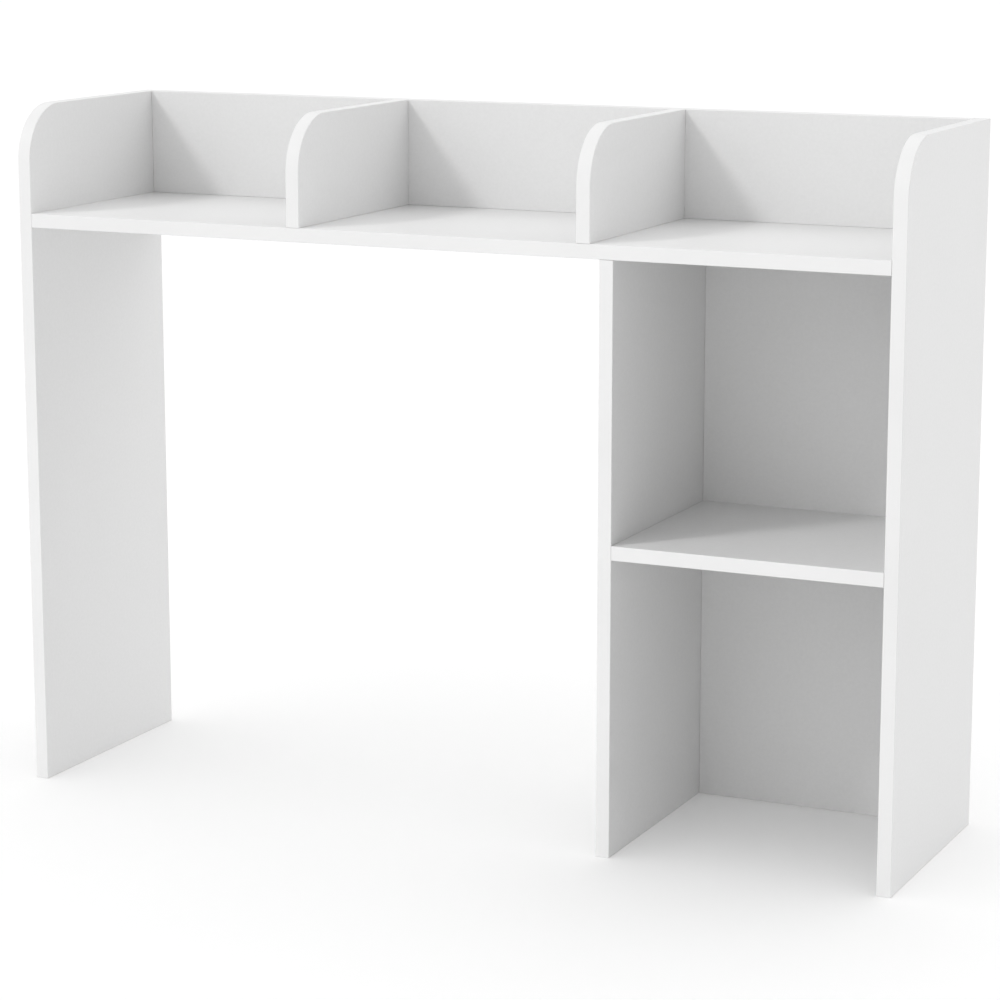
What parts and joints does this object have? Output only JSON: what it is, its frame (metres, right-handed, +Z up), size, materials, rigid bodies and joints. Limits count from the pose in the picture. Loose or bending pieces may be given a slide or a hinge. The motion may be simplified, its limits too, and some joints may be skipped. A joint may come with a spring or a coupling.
{
  "type": "desk hutch",
  "caption": "Open board unit that stands on a desk: a wide bay for a monitor, stacked cubbies beside it, and a divided tray shelf with rounded front corners on top.",
  "frame": {"origin": "centre of the footprint, on the plane of the desk that the hutch stands on", "axes": "+X right along the width, +Y back from the front edges, +Z up"},
  "size_m": [1, 0.27, 0.75],
  "materials": {
    "white_laminate": "satin",
    "white_edge_band": "satin",
    "plated_steel": "bright zinc plated",
    "beech_dowel": "raw",
    "die_cast_zinc": "as cast"
  },
  "bodies": {
    "carcass": {"left_side_panel": "white_laminate", "right_side_panel": "white_laminate", "top_shelf": "white_laminate", "upper_back_panel": "white_laminate", "tray_divider_left": "white_laminate", "tray_divider_right": "white_laminate", "centre_upright": "white_laminate", "middle_shelf": "white_laminate", "cubby_back_panel": "white_laminate", "left_side_front_band": "white_edge_band", "left_side_rear_band": "white_edge_band", "right_side_front_band": "white_edge_band", "right_side_rear_band": "white_edge_band", "top_shelf_front_band": "white_edge_band", "top_shelf_rear_band": "white_edge_band", "upper_back_top_band": "white_edge_band", "divider_left_band": "white_edge_band", "divider_right_band": "white_edge_band", "upright_front_band": "white_edge_band", "upright_rear_band": "white_edge_band", "middle_shelf_front_band": "white_edge_band", "cam_bolts_left_side": "plated_steel", "cam_bolts_right_side": "plated_steel", "cam_bolts_upright": "plated_steel", "cam_bolts_top_shelf": "plated_steel", "dowels_left_side": "beech_dowel", "dowels_right_side": "beech_dowel", "dowels_upright": "beech_dowel", "dowels_top_shelf": "beech_dowel", "divider_base_screws": "plated_steel", "back_rail_screws": "plated_steel", "divider_rear_screws": "plated_steel", "middle_shelf_screws": "plated_steel"},
    "cam_shelf_left_front": {"cam_shelf_left_front": "die_cast_zinc"},
    "cam_shelf_left_rear": {"cam_shelf_left_rear": "die_cast_zinc"},
    "cam_shelf_right_front": {"cam_shelf_right_front": "die_cast_zinc"},
    "cam_shelf_right_rear": {"cam_shelf_right_rear": "die_cast_zinc"},
    "cam_upright_top_front": {"cam_upright_top_front": "die_cast_zinc"},
    "cam_upright_top_rear": {"cam_upright_top_rear": "die_cast_zinc"},
    "cam_middle_left_front": {"cam_middle_left_front": "die_cast_zinc"},
    "cam_middle_left_rear": {"cam_middle_left_rear": "die_cast_zinc"},
    "cam_middle_right_front": {"cam_middle_right_front": "die_cast_zinc"},
    "cam_middle_right_rear": {"cam_middle_right_rear": "die_cast_zinc"},
    "cam_rail_left": {"cam_rail_left": "die_cast_zinc"},
    "cam_rail_right": {"cam_rail_right": "die_cast_zinc"},
    "cam_back_left_lower": {"cam_back_left_lower": "die_cast_zinc"},
    "cam_back_left_upper": {"cam_back_left_upper": "die_cast_zinc"},
    "cam_back_right_lower": {"cam_back_right_lower": "die_cast_zinc"},
    "cam_back_right_upper": {"cam_back_right_upper": "die_cast_zinc"}
  },
  "joints": [
    {"name": "turn_cam_shelf_left_front", "type": "hinge", "parent": "carcass", "child": "cam_shelf_left_front", "pos_m": [-0.451, -0.098, 0.619], "axis": [0, 0, -1], "range_deg": [0, 180]},
    {"name": "turn_cam_shelf_left_rear", "type": "hinge", "parent": "carcass", "child": "cam_shelf_left_rear", "pos_m": [-0.451, 0.098, 0.619], "axis": [0, 0, -1], "range_deg": [0, 180]},
    {"name": "turn_cam_shelf_right_front", "type": "hinge", "parent": "carcass", "child": "cam_shelf_right_front", "pos_m": [0.451, -0.098, 0.619], "axis": [0, 0, -1], "range_deg": [0, 180]},
    {"name": "turn_cam_shelf_right_rear", "type": "hinge", "parent": "carcass", "child": "cam_shelf_right_rear", "pos_m": [0.451, 0.098, 0.619], "axis": [0, 0, -1], "range_deg": [0, 180]},
    {"name": "turn_cam_upright_top_front", "type": "hinge", "parent": "carcass", "child": "cam_upright_top_front", "pos_m": [0.182, -0.098, 0.585], "axis": [-1, 0, 0], "range_deg": [0, 180]},
    {"name": "turn_cam_upright_top_rear", "type": "hinge", "parent": "carcass", "child": "cam_upright_top_rear", "pos_m": [0.182, 0.098, 0.585], "axis": [-1, 0, 0], "range_deg": [0, 180]},
    {"name": "turn_cam_middle_left_front", "type": "hinge", "parent": "carcass", "child": "cam_middle_left_front", "pos_m": [0.231, -0.098, 0.314], "axis": [0, 0, -1], "range_deg": [0, 180]},
    {"name": "turn_cam_middle_left_rear", "type": "hinge", "parent": "carcass", "child": "cam_middle_left_rear", "pos_m": [0.231, 0.0828, 0.314], "axis": [0, 0, -1], "range_deg": [0, 180]},
    {"name": "turn_cam_middle_right_front", "type": "hinge", "parent": "carcass", "child": "cam_middle_right_front", "pos_m": [0.451, -0.098, 0.314], "axis": [0, 0, -1], "range_deg": [0, 180]},
    {"name": "turn_cam_middle_right_rear", "type": "hinge", "parent": "carcass", "child": "cam_middle_right_rear", "pos_m": [0.451, 0.0828, 0.314], "axis": [0, 0, -1], "range_deg": [0, 180]},
    {"name": "turn_cam_rail_left", "type": "hinge", "parent": "carcass", "child": "cam_rail_left", "pos_m": [-0.451, 0.135, 0.692], "axis": [0, 1, 0], "range_deg": [0, 180]},
    {"name": "turn_cam_rail_right", "type": "hinge", "parent": "carcass", "child": "cam_rail_right", "pos_m": [0.451, 0.135, 0.692], "axis": [0, 1, 0], "range_deg": [0, 180]},
    {"name": "turn_cam_back_left_lower", "type": "hinge", "parent": "carcass", "child": "cam_back_left_lower", "pos_m": [0.231, 0.135, 0.096], "axis": [0, 1, 0], "range_deg": [0, 180]},
    {"name": "turn_cam_back_left_upper", "type": "hinge", "parent": "carcass", "child": "cam_back_left_upper", "pos_m": [0.231, 0.135, 0.5228], "axis": [0, 1, 0], "range_deg": [0, 180]},
    {"name": "turn_cam_back_right_lower", "type": "hinge", "parent": "carcass", "child": "cam_back_right_lower", "pos_m": [0.451, 0.135, 0.096], "axis": [0, 1, 0], "range_deg": [0, 180]},
    {"name": "turn_cam_back_right_upper", "type": "hinge", "parent": "carcass", "child": "cam_back_right_upper", "pos_m": [0.451, 0.135, 0.5228], "axis": [0, 1, 0], "range_deg": [0, 180]}
  ]
}
